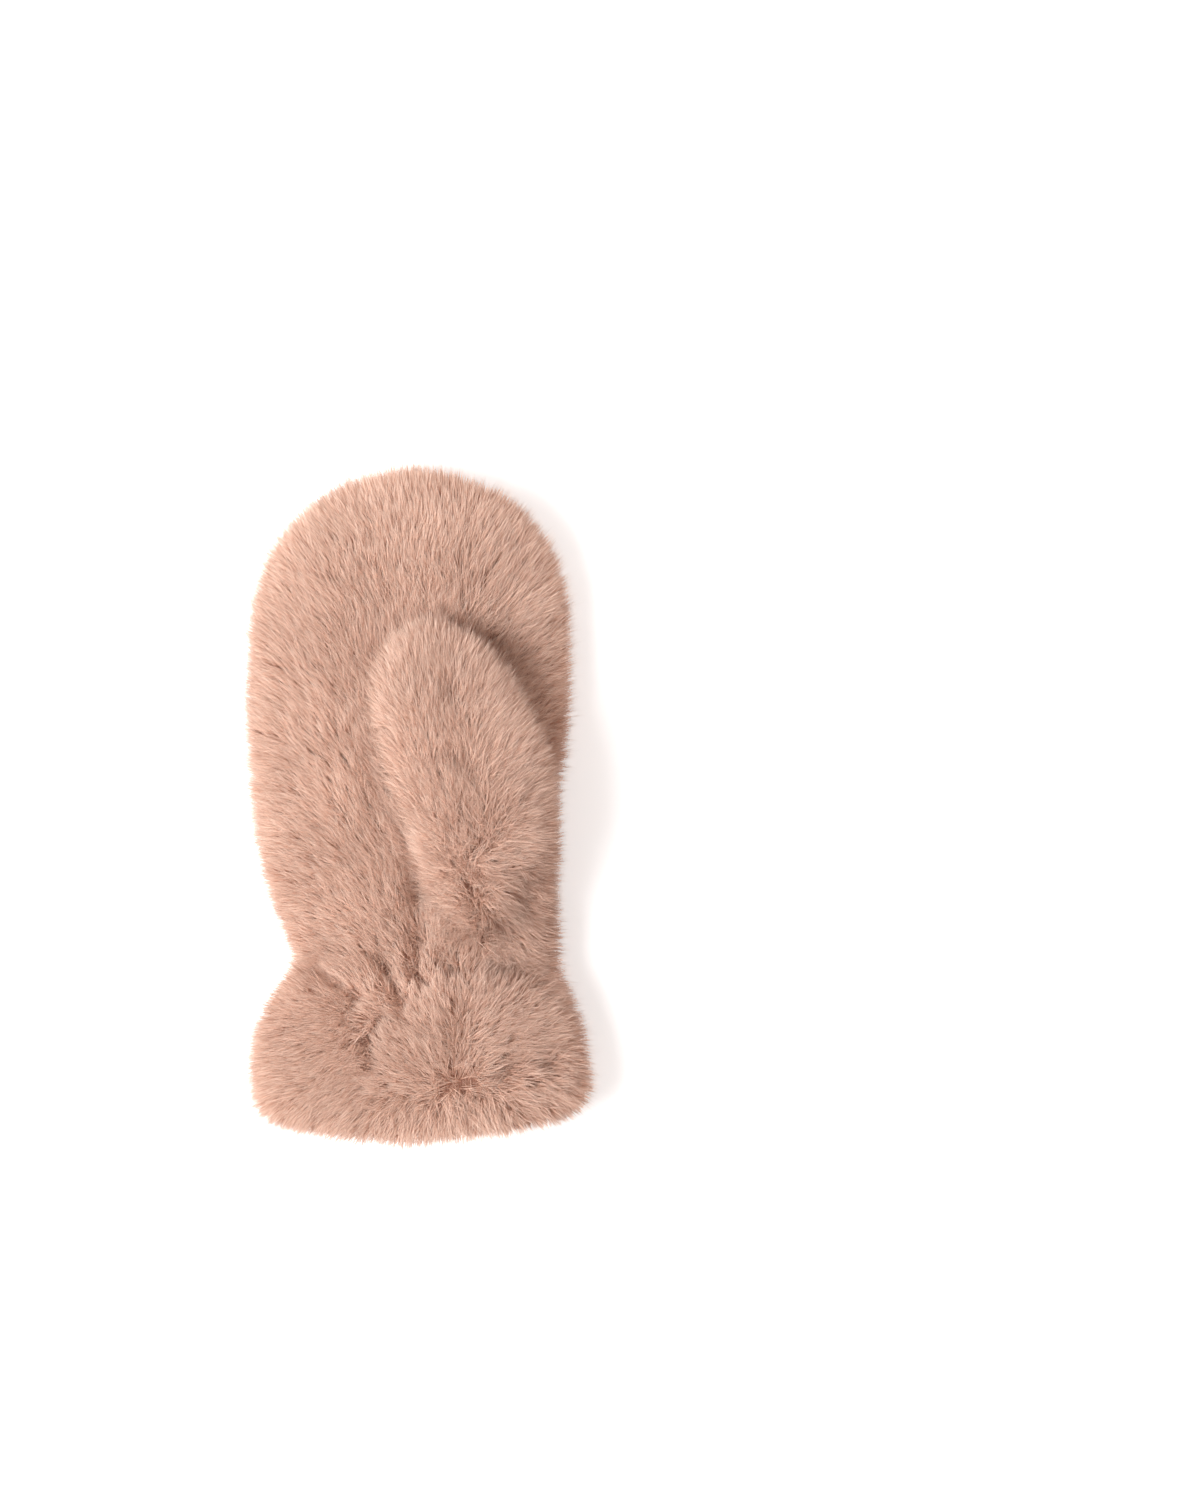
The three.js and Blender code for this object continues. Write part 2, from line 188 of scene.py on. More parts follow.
# Colours, as the eye sees them (sRGB)
TIP_COLOUR = (0.905, 0.8, 0.735)
MIDDLE_COLOUR = (0.86, 0.695, 0.605)
ROOT_COLOUR = (0.67, 0.44, 0.355)
LINING_COLOUR = (0.74, 0.56, 0.48)

# What the darkest and the palest strands make of these colours (linear)
DARK_STRANDS = (0.7, 0.6, 0.56)
PALE_STRANDS = (1.34, 1.42, 1.46)

# The photo: its rows, the metres to a pixel at the mitten's middle height, and the camera above the
# picture's middle, which lies beside the mitten, where its pair was. All in metres but the camera's film,
# in millimetres.
PHOTO_ROWS = 1500
METRES_PER_PIXEL = 0.260 / 676
MIDDLE_HEIGHT = 0.023
CAMERA_PLACE = (0.0698, 0.0223, 1.6)
FILM = 36

# The studio: the floor's reach, how much it glows, the light from all round, and the lamps, with place and
# size in metres and power in watts. They point at a place in the mitten.
FLOOR_REACH = 3.0
FLOOR_GLOW = 0.45
ROUND_LIGHT = (1, 0.9, 0.86, 1)
ROUND_STRENGTH = 0.52
LAMP_TARGET = (0, 0, 0.02)
LAMPS = [
    {"name": "key", "place": (-0.5, -0.15, 1.05), "size": 0.5, "power": 12.5},
    {"name": "side", "place": (-1.05, 0.1, 0.5), "size": 0.8, "power": 6},
    {"name": "top", "place": (0.0, 1.1, 0.7), "size": 0.8, "power": 2.5},
]

# The mitten is about twice as long as wide, so a share of its length counts this much more in a distance
STRETCH = (1, 2)

# The pile's direction is read between the rows of a table. They blend over this distance and fade with this
# power of it. Where the cloth's normal points up by more than the first value, the upper table begins to
# count, and over this range it takes over from the lower one.
COMBING_BLEND = 0.05
COMBING_FADE = 3
UPPER_FROM = -0.7
UPPER_RANGE = 0.9

# Where the pile points. x and y are shares of half the mitten's width and length from its middle, and
# angle is in degrees: 0 towards the thumb's side, 90 towards the finger tips. lay: 1 where the pile lies
# down as elsewhere, less where it stands up.
UPPER_COMBING = [
    {"x": 0.04, "y": 0.95, "angle": 92, "lay": 1},
    {"x": -0.54, "y": 0.9, "angle": 118, "lay": 1},
    {"x": 0.61, "y": 0.85, "angle": 55, "lay": 1},
    {"x": -0.83, "y": 0.7, "angle": 140, "lay": 1},
    {"x": -0.44, "y": 0.72, "angle": 115, "lay": 1},
    {"x": 0.04, "y": 0.75, "angle": 92, "lay": 1},
    {"x": 0.42, "y": 0.73, "angle": 72, "lay": 1},
    {"x": 0.71, "y": 0.65, "angle": 45, "lay": 1},
    {"x": -0.63, "y": 0.45, "angle": 122, "lay": 1},
    {"x": -0.88, "y": 0.4, "angle": 147, "lay": 1},
    {"x": -0.2, "y": 0.5, "angle": 100, "lay": 1},
    {"x": 0.71, "y": 0.49, "angle": 38, "lay": 1},
    {"x": 0.85, "y": 0.35, "angle": 15, "lay": 1},
    {"x": -0.87, "y": 0.1, "angle": 160, "lay": 1},
    {"x": -0.54, "y": 0.16, "angle": 126, "lay": 1},
    {"x": -0.35, "y": 0.2, "angle": 109, "lay": 1},
    {"x": 0.85, "y": 0.05, "angle": 5, "lay": 1},
    {"x": -0.35, "y": 0.0, "angle": 112, "lay": 1},
    {"x": -0.88, "y": -0.05, "angle": 165, "lay": 0.9},
    {"x": -0.54, "y": -0.1, "angle": 141, "lay": 1},
    {"x": -0.25, "y": -0.1, "angle": 121, "lay": 1},
    {"x": -0.73, "y": -0.25, "angle": 160, "lay": 0.8},
    {"x": -0.35, "y": -0.25, "angle": 131, "lay": 1},
    {"x": -0.12, "y": -0.23, "angle": 110, "lay": 1},
    {"x": 0.8, "y": -0.2, "angle": 0, "lay": 1},
    {"x": -0.63, "y": -0.38, "angle": 157, "lay": 0.9},
    {"x": -0.25, "y": -0.38, "angle": 130, "lay": 1},
    {"x": -0.04, "y": -0.35, "angle": 112, "lay": 1},
    {"x": 0.14, "y": -0.38, "angle": 108, "lay": 1},
    {"x": 0.3, "y": -0.38, "angle": 50, "lay": 1},
    {"x": 0.6, "y": -0.4, "angle": 0, "lay": 1},
    {"x": -0.46, "y": -0.44, "angle": 150, "lay": 1},
    {"x": -0.15, "y": -0.46, "angle": 125, "lay": 1},
    {"x": 0.07, "y": -0.46, "angle": 98, "lay": 1},
    {"x": 0.35, "y": -0.46, "angle": 55, "lay": 1},
    {"x": -0.72, "y": -0.5, "angle": 155, "lay": 0.9},
    {"x": -0.27, "y": -0.51, "angle": 124, "lay": 1},
    {"x": 0.45, "y": -0.52, "angle": 70, "lay": 0.9},
    {"x": 0.69, "y": -0.53, "angle": 325, "lay": 1},
    {"x": 0.02, "y": -0.56, "angle": 118, "lay": 1},
    {"x": -0.41, "y": -0.56, "angle": 150, "lay": 1},
    {"x": -0.27, "y": -0.58, "angle": 162, "lay": 1},
    {"x": 0.16, "y": -0.61, "angle": 115, "lay": 1},
    {"x": 0.35, "y": -0.61, "angle": 38, "lay": 1},
    {"x": 0.54, "y": -0.63, "angle": 12, "lay": 1},
    {"x": -0.85, "y": -0.65, "angle": 185, "lay": 0.9},
    {"x": -0.46, "y": -0.64, "angle": 198, "lay": 0.9},
    {"x": -0.15, "y": -0.68, "angle": 118, "lay": 1},
    {"x": -0.37, "y": -0.68, "angle": 226, "lay": 1},
    {"x": 0.02, "y": -0.71, "angle": 125, "lay": 1},
    {"x": 0.16, "y": -0.71, "angle": 122, "lay": 1},
    {"x": 0.35, "y": -0.7, "angle": 24, "lay": 1},
    {"x": 0.64, "y": -0.7, "angle": 0, "lay": 1},
    {"x": 0.85, "y": -0.75, "angle": 345, "lay": 1},
    {"x": -0.08, "y": -0.75, "angle": 132, "lay": 1},
    {"x": 0.4, "y": -0.75, "angle": 12, "lay": 1},
    {"x": 0.24, "y": -0.765, "angle": 65, "lay": 1},
    {"x": -0.65, "y": -0.75, "angle": 195, "lay": 0.85},
    {"x": -0.41, "y": -0.78, "angle": 214, "lay": 0.9},
    {"x": 0.11, "y": -0.78, "angle": 138, "lay": 1},
    {"x": 0.54, "y": -0.77, "angle": 0, "lay": 0.9},
    {"x": -0.85, "y": -0.8, "angle": 203, "lay": 0.9},
    {"x": -0.17, "y": -0.8, "angle": 178, "lay": 1},
    {"x": 0.0, "y": -0.81, "angle": 168, "lay": 1},
    {"x": 0.27, "y": -0.83, "angle": 240, "lay": 1},
    {"x": 0.59, "y": -0.81, "angle": 318, "lay": 1},
    {"x": -0.32, "y": -0.86, "angle": 226, "lay": 1},
    {"x": 0.0, "y": -0.87, "angle": 235, "lay": 1},
    {"x": 0.21, "y": -0.87, "angle": 260, "lay": 1},
    {"x": 0.4, "y": -0.86, "angle": 292, "lay": 1},
    {"x": 0.85, "y": -0.88, "angle": 325, "lay": 1},
    {"x": -0.63, "y": -0.9, "angle": 230, "lay": 0.9},
    {"x": 0.04, "y": -0.95, "angle": 266, "lay": 1},
    {"x": 0.4, "y": -0.95, "angle": 284, "lay": 1},
]
THUMB_COMBING = [
    {"x": 0.05, "y": 0.57, "angle": 96, "lay": 1},
    {"x": -0.2, "y": 0.45, "angle": 122, "lay": 1},
    {"x": 0.05, "y": 0.4, "angle": 100, "lay": 1},
    {"x": 0.35, "y": 0.42, "angle": 62, "lay": 1},
    {"x": -0.15, "y": 0.2, "angle": 118, "lay": 1},
    {"x": 0.15, "y": 0.2, "angle": 97, "lay": 1},
    {"x": 0.5, "y": 0.22, "angle": 55, "lay": 1},
    {"x": -0.02, "y": 0.0, "angle": 117, "lay": 1},
    {"x": 0.25, "y": 0.05, "angle": 100, "lay": 1},
    {"x": 0.5, "y": 0.05, "angle": 52, "lay": 1},
    {"x": 0.75, "y": 0.05, "angle": 22, "lay": 1},
    {"x": 0.1, "y": -0.12, "angle": 132, "lay": 1},
    {"x": 0.3, "y": -0.06, "angle": 100, "lay": 1},
    {"x": 0.6, "y": -0.08, "angle": 15, "lay": 1},
    {"x": 0.85, "y": -0.1, "angle": 2, "lay": 1},
    {"x": 0.2, "y": -0.22, "angle": 137, "lay": 1},
    {"x": 0.31, "y": -0.3, "angle": 139, "lay": 1},
    {"x": 0.42, "y": -0.15, "angle": 12, "lay": 1},
    {"x": 0.48, "y": -0.25, "angle": 328, "lay": 1},
    {"x": 0.8, "y": -0.22, "angle": 352, "lay": 1},
    {"x": 0.5, "y": -0.33, "angle": 322, "lay": 1},
    {"x": 0.7, "y": -0.32, "angle": 345, "lay": 1},
]
LOWER_COMBING = [
    {"x": 0.0, "y": 0.95, "angle": 90, "lay": 1},
    {"x": -0.8, "y": 0.6, "angle": 140, "lay": 1},
    {"x": 0.8, "y": 0.6, "angle": 40, "lay": 1},
    {"x": 0.0, "y": 0.2, "angle": 90, "lay": 1},
    {"x": -0.8, "y": -0.1, "angle": 150, "lay": 1},
    {"x": 0.8, "y": -0.1, "angle": 30, "lay": 1},
    {"x": 0.0, "y": -0.35, "angle": 90, "lay": 1},
    {"x": 0.0, "y": -0.55, "angle": 270, "lay": 1},
    {"x": -0.8, "y": -0.6, "angle": 195, "lay": 1},
    {"x": 0.8, "y": -0.6, "angle": 345, "lay": 1},
    {"x": 0.0, "y": -0.9, "angle": 270, "lay": 1},
    {"x": -0.8, "y": -0.85, "angle": 225, "lay": 1},
    {"x": 0.8, "y": -0.85, "angle": 315, "lay": 1},
]

# Folds in the cloth, seen from above, with x and y as above. depth and reach are in metres, and a depth
# below nothing is a ridge. part: how far the pile on either side points away from the fold.
FOLDS = [
    {"from": (0.03, -0.22), "to": (0.0, -0.38), "depth": 0.003, "reach": 0.004, "part": 0.4},
    {"from": (0.0, -0.39), "to": (0.01, -0.46), "depth": 0.0065, "reach": 0.002, "part": 1.2},
    {"from": (-0.01, -0.48), "to": (0.05, -0.53), "depth": 0.0065, "reach": 0.002, "part": 1.2},
    {"from": (-0.2, -0.44), "to": (-0.18, -0.48), "depth": 0.0065, "reach": 0.002, "part": 1.2},
    {"from": (-0.18, -0.48), "to": (-0.07, -0.57), "depth": 0.0045, "reach": 0.0025, "part": 1.0},
    {"from": (-0.07, -0.57), "to": (-0.06, -0.61), "depth": 0.004, "reach": 0.0025, "part": 0.8},
    {"from": (0.16, -0.46), "to": (0.23, -0.5), "depth": 0.0065, "reach": 0.002, "part": 1.2},
    {"from": (-0.55, -0.49), "to": (-0.32, -0.56), "depth": 0.004, "reach": 0.003, "part": 0.7},
    {"from": (-0.32, -0.56), "to": (-0.37, -0.61), "depth": 0.004, "reach": 0.003, "part": 0.7},
    {"from": (-0.18, -0.62), "to": (-0.27, -0.69), "depth": 0.0045, "reach": 0.0025, "part": 1.0},
    {"from": (-0.27, -0.69), "to": (-0.22, -0.75), "depth": 0.0045, "reach": 0.0025, "part": 1.0},
    {"from": (0.42, -0.8), "to": (0.52, -0.75), "depth": 0.004, "reach": 0.0025, "part": 0.8},
    {"from": (0.68, -0.75), "to": (0.72, -0.76), "depth": 0.004, "reach": 0.0025, "part": 0.8},
    {"from": (0.26, -0.58), "to": (0.26, -0.76), "depth": 0.002, "reach": 0.003, "part": 0.3},
    {"from": (0.34, -0.25), "to": (0.46, -0.37), "depth": 0.004, "reach": 0.003, "part": 0.7},
    {"from": (0.6, -0.24), "to": (0.62, -0.31), "depth": 0.004, "reach": 0.0025, "part": 0.8},
    {"from": (0.57, -0.2), "to": (0.66, -0.19), "depth": 0.004, "reach": 0.0025, "part": 0.8},
    {"from": (0.45, -0.47), "to": (0.85, -0.5), "depth": 0.0045, "reach": 0.006, "part": 0.0},
    {"from": (0.55, -0.3), "to": (0.74, -0.2), "depth": 0.0035, "reach": 0.005, "part": 0.3},
    {"from": (0.02, -0.17), "to": (0.03, -0.27), "depth": 0.0045, "reach": 0.004, "part": 0.8},
    {"from": (0.06, -0.23), "to": (0.3, -0.37), "depth": 0.0035, "reach": 0.0035, "part": 0.5},
    {"from": (0.08, -0.12), "to": (0.36, -0.32), "depth": -0.003, "reach": 0.006, "part": 0.0},
    {"from": (0.42, -0.34), "to": (0.52, -0.36), "depth": 0.004, "reach": 0.003, "part": 0.9},
    {"from": (-0.24, 0.08), "to": (-0.17, -0.02), "depth": 0.003, "reach": 0.0025, "part": 0.4},
    {"from": (0.2, 0.35), "to": (0.21, 0.31), "depth": 0.003, "reach": 0.002, "part": 0.6},
    {"from": (0.19, 0.14), "to": (0.32, 0.1), "depth": 0.003, "reach": 0.003, "part": 0.4},
]

# The pile is parted over this many times a fold's reach. Where part is more than the second value, the pile
# is shorter too, over this many times the reach.
PART_REACH = 1.6
SHORT_PART = 0.45
SHORT_REACH = 1.3

# Where the pile differs from the rest, within a reach: how calm it lies, how much shorter it is, and tone:
# painted light and shade, the pile's colour made lighter or darker where more or less light falls on it
PATCHES = [
    {"x": -0.6, "y": -0.8, "reach": 0.35, "calm": 0.7, "short": 0, "tone": -0.12},
    {"x": 0.05, "y": -0.97, "reach": 0.25, "calm": 0.75, "short": 0, "tone": 0.0},
    {"x": 0.4, "y": -0.95, "reach": 0.14, "calm": 0.4, "short": 0.1, "tone": 0.0},
    {"x": 0.1, "y": 0.8, "reach": 0.35, "calm": 0.2, "short": 0, "tone": 0.06},
    {"x": -0.1, "y": -0.5, "reach": 0.27, "calm": 0.0, "short": 0.25, "tone": 0.13},
    {"x": 0.12, "y": 0.38, "reach": 0.2, "calm": 0.0, "short": 0, "tone": -0.13},
    {"x": 0.1, "y": -0.15, "reach": 0.07, "calm": 0.7, "short": 0, "tone": 0.06},
    {"x": 0.24, "y": -0.25, "reach": 0.07, "calm": 0.7, "short": 0.15, "tone": 0.1},
    {"x": 0.6, "y": -0.25, "reach": 0.26, "calm": 0.0, "short": 0, "tone": -0.2},
    {"x": 0.65, "y": -0.6, "reach": 0.26, "calm": 0.0, "short": 0, "tone": -0.18},
    {"x": 0.4, "y": 0.0, "reach": 0.25, "calm": 0.0, "short": 0, "tone": -0.04},
    {"x": -0.35, "y": 0.05, "reach": 0.25, "calm": 0.0, "short": 0, "tone": 0.06},
    {"x": 0.75, "y": 0.3, "reach": 0.25, "calm": 0.3, "short": 0, "tone": 0.1},
]


def linear(colour):
    """An sRGB colour as the linear RGBA that Blender's sockets take."""
    return tuple(c / 12.92 if c <= 0.04045 else ((c + 0.055) / 1.055) ** 2.4 for c in colour) + (1,)


def unit(vectors):
    """Vectors of the same directions and a length of 1."""
    return vectors / np.maximum(np.linalg.norm(vectors, axis=-1, keepdims=True), 1e-9)


def plan_shares(points):
    """x and y of points as shares of half the mitten's width and length from its middle."""
    return ((points - MIDDLE) / HALF)[:, :2]


def faces_of(names):
    """The points and polygons of CAD nodes."""
    points, polygons = [], []
    for name in names:
        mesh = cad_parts[name].data
        start = len(points)
        points += [tuple(v.co) for v in mesh.vertices]
        polygons += [[start + i for i in p.vertices] for p in mesh.polygons]
    return np.array(points), polygons


def hand_faces():
    """All CAD nodes, with the free part of the thumb pressed into the hand."""
    hand, polygons = faces_of(name for name in PIECES if name != "thumb_stall")
    thumb, thumb_polygons = faces_of(["thumb_stall"])
    ceiling = HAND_TOP + THUMB_RISE * np.maximum(THUMB_FREE_FROM - thumb[:, 1], 0)
    thumb[:, 2] = np.minimum(thumb[:, 2], ceiling)
    polygons += [[len(hand) + i for i in polygon] for polygon in thumb_polygons]
    return np.concatenate([hand, thumb]), polygons


def regridded(points, polygons, grid, smoothing):
    """Closed surfaces as one closed and smoothed grid: corner points and triangles."""
    mesh = bpy.data.meshes.new("grid")
    mesh.from_pydata(points.tolist(), [], polygons)
    shape = bpy.data.objects.new("grid", mesh)
    bpy.context.scene.collection.objects.link(shape)
    voxels = shape.modifiers.new("voxels", "REMESH")
    voxels.mode = "VOXEL"
    voxels.voxel_size = grid
    smooth = shape.modifiers.new("smooth", "SMOOTH")
    smooth.factor = 0.5
    smooth.iterations = smoothing
    evaluated = shape.evaluated_get(bpy.context.evaluated_depsgraph_get())
    made = evaluated.to_mesh()
    made.calc_loop_triangles()
    corners = np.empty(len(made.vertices) * 3)
    made.vertices.foreach_get("co", corners)
    triangles = np.empty(len(made.loop_triangles) * 3, int)
    made.loop_triangles.foreach_get("vertices", triangles)
    evaluated.to_mesh_clear()
    bpy.data.objects.remove(shape)
    bpy.data.meshes.remove(mesh)
    return corners.reshape(-1, 3), triangles.reshape(-1, 3)


def normals_of(points, triangles):
    """Smooth normals at the points of triangles."""
    a, b, c = (points[triangles[:, i]] for i in range(3))
    face = np.cross(b - a, c - a)
    normals = np.zeros_like(points)
    for i in range(3):
        np.add.at(normals, triangles[:, i], face)
    return unit(normals)


def spread_out(values, triangles, times):
    """Values at points, each replaced by the mean of its neighbours' a few times."""
    for _ in range(times):
        total, count = np.zeros(len(values)), np.zeros(len(values))
        for a, b in ((0, 1), (1, 2), (2, 0)):
            np.add.at(total, triangles[:, a], values[triangles[:, b]])
            np.add.at(count, triangles[:, a], 1)
        values = total / np.maximum(count, 1)
    return values


def outside_share(points, normals, triangles):
    """1 at points of the outer face and 0 in the hollow, where the cloth closes round a point.

    No ray is sent along the mitten, because the hollow is open at the mouth.
    """
    tree = BVHTree.FromPolygons(points.tolist(), triangles.tolist())
    ways = [Vector(way) for way in ((1, 0, 0), (-1, 0, 0), (0, 0, 1), (0, 0, -1))]
    share = np.ones(len(points))
    for i, start in enumerate(points + AIR_START * normals):
        share[i] = any(tree.ray_cast(Vector(start), way)[0] is None for way in ways)
    return spread_out(share, triangles, EVENING_ROUNDS)


def wall_under(points, normals, triangles, most):
    """The cloth's thickness under its points, up to a most."""
    tree = BVHTree.FromPolygons(points.tolist(), triangles.tolist())
    starts = points - WALL_START * normals
    reached = [tree.ray_cast(Vector(p), Vector(-n), most)[3] for p, n in zip(starts, normals)]
    return np.array([most if reach is None else reach + WALL_START for reach in reached])


def sunk(points, normals, triangles, depth):
    """Points moved inwards by a depth each, as far as the cloth keeps its least thickness."""
    spare = np.maximum(wall_under(points, normals, triangles, FULL_WALL) - LEAST_WALL, 0)
    return points - normals * np.minimum(depth, spare)[:, None]


def fold_effects(points, normals):
    """How far the folds sink points of the upper side, how they push the pile in plan and shorten it."""
    depth, push, short = np.zeros(len(points)), np.zeros((len(points), 2)), np.zeros(len(points))
    for fold in FOLDS:
        reach, part = fold["reach"], fold["part"]
        start, end = (MIDDLE[:2] + np.array(fold[key]) * HALF[:2] for key in ("from", "to"))
        along = end - start
        share = np.clip((points[:, :2] - start) @ along / (along @ along), 0, 1)
        offset = points[:, :2] - start - share[:, None] * along
        away = np.linalg.norm(offset, axis=1)
        depth += fold["depth"] * np.exp(-((away / reach) ** 2))
        shorter = max(part - SHORT_PART, 0) * np.exp(-((away / (SHORT_REACH * reach)) ** 2))
        short = np.maximum(short, shorter)
        near = part * np.exp(-((away / (PART_REACH * reach)) ** 2))
        push += unit(offset) * near[:, None]
    upper = np.clip(normals[:, 2] * 2, 0, 1)
    return depth * upper, push * upper[:, None], short * upper


def patches(points, column):
    """A column of PATCHES at points seen from above, fading with the distance from each patch."""
    places = plan_shares(points) * STRETCH
    total = np.zeros(len(points))
    for patch in PATCHES:
        offset = places - np.array([patch["x"], patch["y"]]) * STRETCH
        away = np.linalg.norm(offset, axis=1) / (STRETCH[1] * patch["reach"])
        total += patch[column] * np.exp(-(away**2))
    return total


def nearest_pieces(points):
    """The index in PIECES of the CAD node nearest to each point."""
    distances = []
    for name in PIECES:
        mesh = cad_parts[name].data
        tree = BVHTree.FromPolygons(
            [tuple(v.co) for v in mesh.vertices], [tuple(p.vertices) for p in mesh.polygons]
        )
        distances.append([tree.find_nearest(Vector(p))[3] for p in points])
    return np.argmin(np.array(distances), axis=0)


def combed(points, table):
    """How the pile lies at points, read between the rows of a table.

    The vectors in plan point as the pile does and are as long as its lay. With them comes the order: 1 where
    the rows agree on the direction, and less where they don't.
    """
    places = np.array([[row["x"], row["y"]] for row in table])
    angles = np.radians([row["angle"] for row in table])
    gaps = np.linalg.norm(plan_shares(points)[:, None] * STRETCH - places[None] * STRETCH, axis=2)
    weights = 1 / (gaps + COMBING_BLEND) ** COMBING_FADE
    weights /= weights.sum(1, keepdims=True)
    flat = weights @ np.stack([np.cos(angles), np.sin(angles)], axis=1)
    lay = weights @ np.array([row["lay"] for row in table])
    vectors = unit(np.column_stack([flat, np.zeros(len(points))])) * lay[:, None]
    return vectors, np.linalg.norm(flat, axis=1)


def combing(points, normals, name):
    """How the pile lies over a piece, from its upper table to its lower one round the side.

    A vector has the pile's direction, and its length is 1 where the pile lies down and less where it stands.
    With the vectors come the order, 1 where the pile lies in one direction and less in a whorl, and how much
    shorter the pile is in a fold.
    """
    on_thumb = name == "thumb_stall"
    above, order = combed(points, THUMB_COMBING if on_thumb else UPPER_COMBING)
    below, _ = combed(points, THUMB_COMBING if on_thumb else LOWER_COMBING)
    share = np.clip((normals[:, 2:] - UPPER_FROM) / UPPER_RANGE, 0, 1)
    lying = above * share + below * (1 - share)
    lay = np.linalg.norm(lying, axis=1, keepdims=True)
    _, push, short = fold_effects(points, normals)
    return unit(unit(lying) + np.column_stack([push, np.zeros(len(points))])) * lay, order, short


def add_mesh(name, points, triangles, material, uv=None, smooth=False):
    """An object of triangles in the scene, with a map of its points where one is given."""
    mesh = bpy.data.meshes.new(name)
    mesh.vertices.add(len(points))
    mesh.vertices.foreach_set("co", points.astype(np.float32).ravel())
    mesh.loops.add(triangles.size)
    mesh.loops.foreach_set("vertex_index", triangles.astype(np.int32).ravel())
    mesh.polygons.add(len(triangles))
    mesh.polygons.foreach_set("loop_start", np.arange(0, triangles.size, 3, dtype=np.int32))
    mesh.polygons.foreach_set("use_smooth", np.full(len(triangles), smooth))
    if uv is not None:
        layer = mesh.uv_layers.new(name="OFBake")
        layer.data.foreach_set("uv", uv[triangles.ravel()].astype(np.float32).ravel())
    mesh.update(calc_edges=True)
    mesh.materials.append(material)
    added = bpy.data.objects.new(name, mesh)
    bpy.context.scene.collection.objects.link(added)
    return added


def scattered(points, normals, triangles, count):
    """Places spread over triangles with no two too near each other, and the smooth normals there."""
    a, b, c = (points[triangles[:, i]] for i in range(3))
    area = np.linalg.norm(np.cross(b - a, c - a), axis=1)
    tries = TRIES * count
    chosen = triangles[CHANCE.choice(len(triangles), tries, p=area / area.sum())]
    u, v = CHANCE.random((2, tries))
    over = u + v > 1
    u[over], v[over] = 1 - u[over], 1 - v[over]
    weights = np.stack([1 - u - v, u, v], axis=1)[..., None]
    places = (points[chosen] * weights).sum(1)
    least = LEAST_GAP * math.sqrt(area.sum() / 2 / count)
    kept, taken = [], {}
    cells = np.floor(places / least).astype(int)
    for i, (place, cell) in enumerate(zip(places, map(tuple, cells))):
        around = [
            j
            for x in (-1, 0, 1)
            for y in (-1, 0, 1)
            for z in (-1, 0, 1)
            for j in taken.get((cell[0] + x, cell[1] + y, cell[2] + z), ())
        ]
        if not around or ((places[around] - place) ** 2).sum(1).min() > least**2:
            kept.append(i)
            taken.setdefault(cell, []).append(i)
    return places[kept], unit((normals[chosen[kept]] * weights[kept]).sum(1))


def in_disc(count, radius):
    """Points spread evenly over a disc."""
    angle = CHANCE.random(count) * 2 * np.pi
    reach = radius * np.sqrt(CHANCE.random(count))
    return np.stack([reach * np.cos(angle), reach * np.sin(angle)], axis=1)


def turned(directions, normals, angles):
    """Directions turned about normals."""
    c, s = np.cos(angles)[:, None], np.sin(angles)[:, None]
    along = (directions * normals).sum(1, keepdims=True)
    return directions * c + np.cross(normals, directions) * s + normals * along * (1 - c)


def frames_on(normals):
    """Two unit vectors square to each normal and to each other."""
    spare = np.where(np.abs(normals[:, 2:]) < 0.9, (0, 0, 1.0), (1.0, 0, 0))
    first = unit(np.cross(normals, spare))
    return first, np.cross(normals, first)


def waves(points, length, seed):
    """Smooth noise from -1 to 1 whose waves have this length."""
    chance = np.random.default_rng(seed)
    total = np.zeros(len(points))
    for _ in range(WAVE_COUNT):
        way = unit(chance.normal(size=3))
        own_length = length * chance.uniform(*WAVE_LENGTHS)
        total += np.sin(points @ way * 2 * np.pi / own_length + chance.random() * WAVE_PHASES)
    return total / (WAVE_COUNT / 2)


def wisp_traits(roots, order, short, calm):
    """What sets the wisps apart: how far each is turned, its lean, its length and its tone, with painted light
    and shade.
    """
    wisps = len(roots)
    ruffle = 1 - calm
    whorl = np.clip(WHORL_GAIN * (1 - order), 0, 1)
    turn = SWIRL * waves(roots, SWIRL_WAVE, seed=5) + RIPPLE * waves(roots, RIPPLE_WAVE, seed=8) * ruffle
    turn += WHORL_TURN * whorl + CHANCE.normal(0, 1, wisps) * (WISP_TURN * ruffle + TOUSLE * whorl)
    lean = (CHANCE.normal(0, WISP_LEAN, wisps) + LEAN_CHANGE * waves(roots, LEAN_WAVE, seed=6)) * ruffle
    length = STRAND_LENGTH * (1 + CHANCE.uniform(-WISP_LENGTH, WISP_LENGTH, wisps) * ruffle)
    length *= (1 - short) * (1 - patches(roots, "short"))
    tone = (CHANCE.normal(0, WISP_TONE, wisps) + TONE_CHANGE * waves(roots, TONE_WAVE, seed=7)) * ruffle
    # The patches' tone is painted light and shade: the colour lighter or darker where more or less light falls
    return turn, lean, length, patches(roots, "tone") + tone


